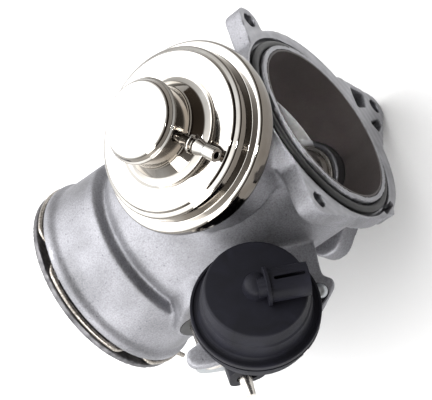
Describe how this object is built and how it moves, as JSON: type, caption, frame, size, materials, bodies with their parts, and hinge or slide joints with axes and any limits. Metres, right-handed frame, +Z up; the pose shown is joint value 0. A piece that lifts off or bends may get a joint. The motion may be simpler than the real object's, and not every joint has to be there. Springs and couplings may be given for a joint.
{
  "type": "egr valve",
  "caption": "Exhaust gas recirculation valve with intake throttle: cast pipe housing, chrome vacuum can that lifts a poppet, throttle flap with crank and vacuum actuator",
  "frame": {"origin": "centre of the manifold bore at its mouth", "axes": "+X out of the manifold flange along the pipe, +Z up the vacuum can, the actuator on the -Y side"},
  "size_m": [0.1062, 0.1173, 0.1219],
  "materials": {
    "cast_aluminium": "sand-cast, matt",
    "dark_lining": "baked dark coating",
    "seal_rubber": "moulded",
    "spring_wire": "drawn wire",
    "turned_steel": "turned",
    "valve_steel": "heat-tinted",
    "bronze": "sintered",
    "zinc_steel": "zinc plated",
    "can_chrome": "polished nickel-chrome plating",
    "flap_aluminium": "rolled sheet",
    "black_nylon": "glass-filled nylon, matt"
  },
  "bodies": {
    "housing_body": {"housing": "cast_aluminium", "bore_liner": "dark_lining", "manifold_o_ring": "seal_rubber", "retaining_clip": "spring_wire", "valve_seat": "turned_steel", "stem_guide": "bronze", "stem_seal": "seal_rubber", "can_lower_shell": "can_chrome", "can_screws": "zinc_steel", "can_diaphragm": "seal_rubber", "can_upper_shell": "can_chrome", "can_cap": "can_chrome", "can_nipple": "can_chrome", "can_spring": "spring_wire", "flap_bush_near": "bronze", "flap_bush_far": "bronze", "shaft_seal": "seal_rubber", "shaft_plug": "zinc_steel", "actuator_cover": "black_nylon", "actuator_base": "black_nylon", "actuator_diaphragm": "seal_rubber", "actuator_spring": "spring_wire", "arm_screws": "zinc_steel", "actuator_elbow": "black_nylon"},
    "egr_valve": {"valve_poppet": "valve_steel", "valve_stem": "turned_steel", "diaphragm_plate": "zinc_steel", "stem_nut": "zinc_steel"},
    "flap": {"flap_shaft": "turned_steel", "throttle_flap": "flap_aluminium", "flap_screws": "zinc_steel", "crank_lever": "zinc_steel", "crank_pin": "turned_steel"},
    "pull_rod": {"actuator_plate": "zinc_steel", "actuator_rod": "turned_steel", "rod_nut": "zinc_steel", "rod_yoke": "black_nylon"}
  },
  "joints": [
    {"name": "egr_valve_lift", "type": "slide", "parent": "housing_body", "child": "egr_valve", "axis": [0, 0, 1], "range_m": [0, 0.0045], "stiffness_N_per_m": 4000, "springref_m": -0.004, "deforming": ["can_spring", "can_diaphragm"]},
    {"name": "flap_turn", "type": "hinge", "parent": "housing_body", "child": "flap", "pos_m": [-0.0709, 0, 0], "axis": [0, -1, 0], "range_deg": [0, 78]},
    {"name": "rod_pull", "type": "slide", "parent": "housing_body", "child": "pull_rod", "axis": [0.6266, 0, 0.7793], "range_m": [0, 0.01269], "deforming": ["actuator_spring", "actuator_diaphragm"]}
  ],
  "couplings": [
    {"joint": "rod_pull", "follows": "flap_turn", "m_per_rad": 0.0092455}
  ]
}
